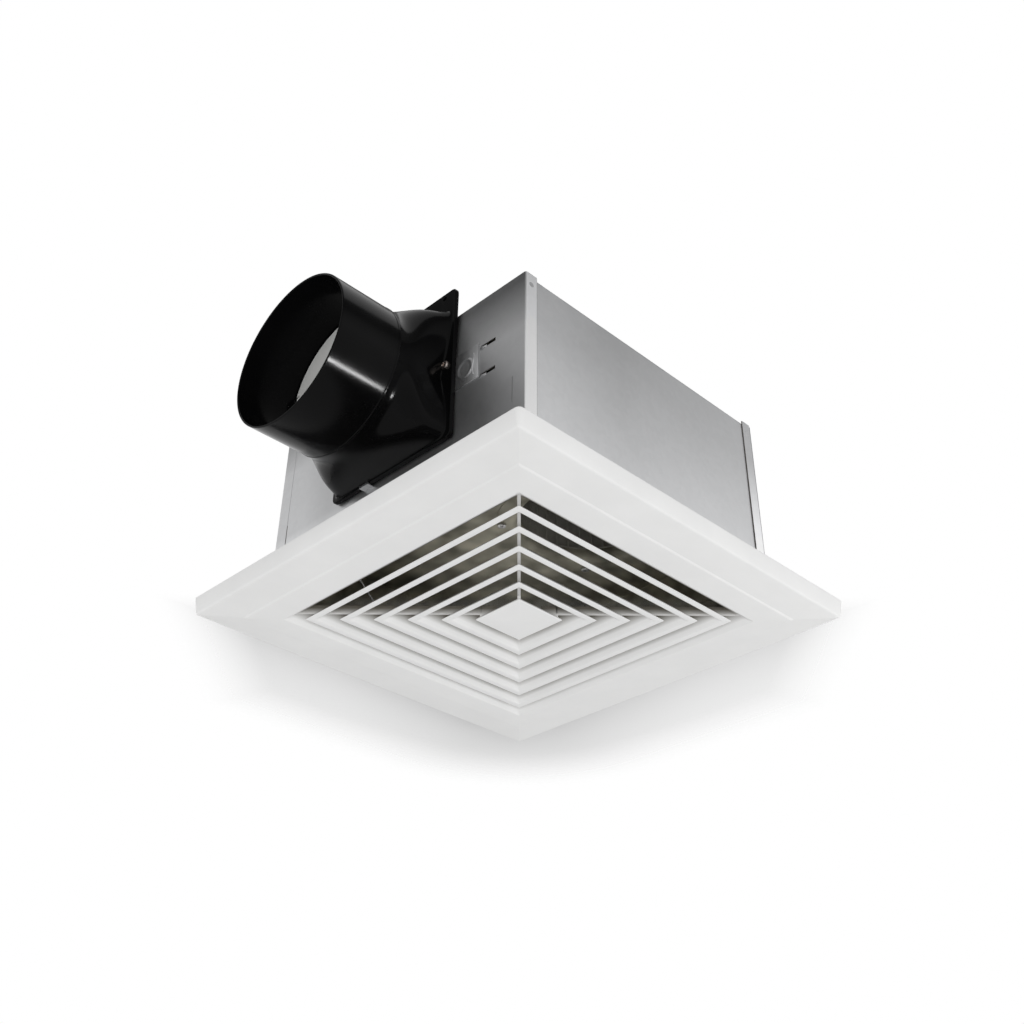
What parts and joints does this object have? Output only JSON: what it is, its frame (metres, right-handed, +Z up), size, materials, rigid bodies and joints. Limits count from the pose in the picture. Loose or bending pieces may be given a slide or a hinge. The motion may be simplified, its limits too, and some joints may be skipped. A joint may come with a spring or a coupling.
{
  "type": "ceiling exhaust fan",
  "caption": "Ducted ceiling exhaust fan: folded metal housing, centrifugal blower, round duct adapter with a back-draught flap and a square louvred grille held by springs.",
  "frame": {"origin": "middle of the ceiling screw pattern, on the face of the mounting frame that meets the ceiling", "axes": "+Z up into the ceiling space, -X along the duct away from the housing, the room is below"},
  "size_m": [0.4085, 0.35, 0.2067],
  "materials": {
    "galvanised_sheet": "hot-dip zinc, semi-matt",
    "fastener_zinc": "bright zinc",
    "adapter_screw_steel": "passivated, warm tint",
    "white_plastic": "satin moulded",
    "black_plastic": "glossy moulded",
    "black_rubber": "matt",
    "foam_gasket": "matt foam",
    "motor_steel": "pressed steel",
    "core_steel": "stacked sheet",
    "winding_enamel": "enamelled wire",
    "bearing_steel": "ground",
    "wheel_sheet": "galvanised",
    "damper_aluminium": "rolled",
    "capacitor_plastic": "matt",
    "terminal_plastic": "matt",
    "terminal_brass": "turned",
    "lead_sheath": "matt",
    "spring_wire": "drawn wire"
  },
  "bodies": {
    "housing": {"housing_wrap": "galvanised_sheet", "outlet_panel": "galvanised_sheet", "rear_panel": "galvanised_sheet", "mounting_frame": "galvanised_sheet", "frame_rivets": "fastener_zinc", "spring_brackets": "galvanised_sheet", "junction_box": "galvanised_sheet", "wiring_cover": "galvanised_sheet", "terminal_block": "terminal_plastic", "terminal_screws": "terminal_brass", "cable_bushing": "black_rubber", "duct_adapter": "black_plastic", "adapter_gasket": "foam_gasket", "adapter_screws": "adapter_screw_steel", "damper_pin": "bearing_steel", "scroll_band": "galvanised_sheet", "scroll_top": "galvanised_sheet", "scroll_base": "galvanised_sheet", "inlet_ring": "galvanised_sheet", "inlet_screws": "fastener_zinc", "blower_screws": "fastener_zinc", "motor_case_upper": "motor_steel", "motor_case_lower": "motor_steel", "motor_bushes": "black_rubber", "motor_screws": "fastener_zinc", "stator_core": "core_steel", "stator_windings": "winding_enamel", "upper_bearing": "bearing_steel", "lower_bearing": "bearing_steel", "capacitor": "capacitor_plastic", "capacitor_clamp": "galvanised_sheet", "motor_lead": "lead_sheath", "lead_grommets": "black_rubber"},
    "rotor": {"rotor_core": "core_steel", "motor_shaft": "bearing_steel", "impeller_backplate": "wheel_sheet", "impeller_blades": "wheel_sheet", "impeller_ring": "wheel_sheet", "hub_nut": "fastener_zinc"},
    "damper": {"damper_flap": "damper_aluminium"},
    "grille": {"grille_frame": "white_plastic", "grille_louvres": "white_plastic", "grille_cap": "white_plastic", "grille_ribs": "white_plastic", "front_spring_coil": "spring_wire", "rear_spring_coil": "spring_wire"},
    "front_left_leg": {"front_spring_left_leg": "spring_wire"},
    "front_right_leg": {"front_spring_right_leg": "spring_wire"},
    "rear_left_leg": {"rear_spring_left_leg": "spring_wire"},
    "rear_right_leg": {"rear_spring_right_leg": "spring_wire"}
  },
  "joints": [
    {"name": "impeller_spin", "type": "hinge", "parent": "housing", "child": "rotor", "pos_m": [0.024, -0.052, 0.128], "axis": [0, 0, 1], "continuous": true},
    {"name": "damper_swing", "type": "hinge", "parent": "housing", "child": "damper", "pos_m": [-0.185, -0.003, 0.116], "axis": [0, 1, 0], "range_deg": [0, 75]},
    {"name": "grille_drop", "type": "slide", "parent": "housing", "child": "grille", "axis": [0, 0, -1], "range_m": [0, 0.05], "stiffness_N_per_m": 60, "springref_m": -0.12},
    {"name": "front_left_leg_swing", "type": "hinge", "parent": "grille", "child": "front_left_leg", "pos_m": [0, -0.13, -0.0055], "axis": [0, 1, 0], "range_deg": [0, 32]},
    {"name": "front_right_leg_swing", "type": "hinge", "parent": "grille", "child": "front_right_leg", "pos_m": [0, -0.13, -0.0055], "axis": [0, -1, 0], "range_deg": [0, 32]},
    {"name": "rear_left_leg_swing", "type": "hinge", "parent": "grille", "child": "rear_left_leg", "pos_m": [0, 0.13, -0.0055], "axis": [0, -1, 0], "range_deg": [0, 32]},
    {"name": "rear_right_leg_swing", "type": "hinge", "parent": "grille", "child": "rear_right_leg", "pos_m": [0, 0.13, -0.0055], "axis": [0, 1, 0], "range_deg": [0, 32]}
  ],
  "couplings": [
    {"joint": "front_left_leg_swing", "follows": "grille_drop", "rad_per_m": 11.16},
    {"joint": "front_right_leg_swing", "follows": "grille_drop", "rad_per_m": 11.16},
    {"joint": "rear_left_leg_swing", "follows": "grille_drop", "rad_per_m": 11.16},
    {"joint": "rear_right_leg_swing", "follows": "grille_drop", "rad_per_m": 11.16}
  ]
}
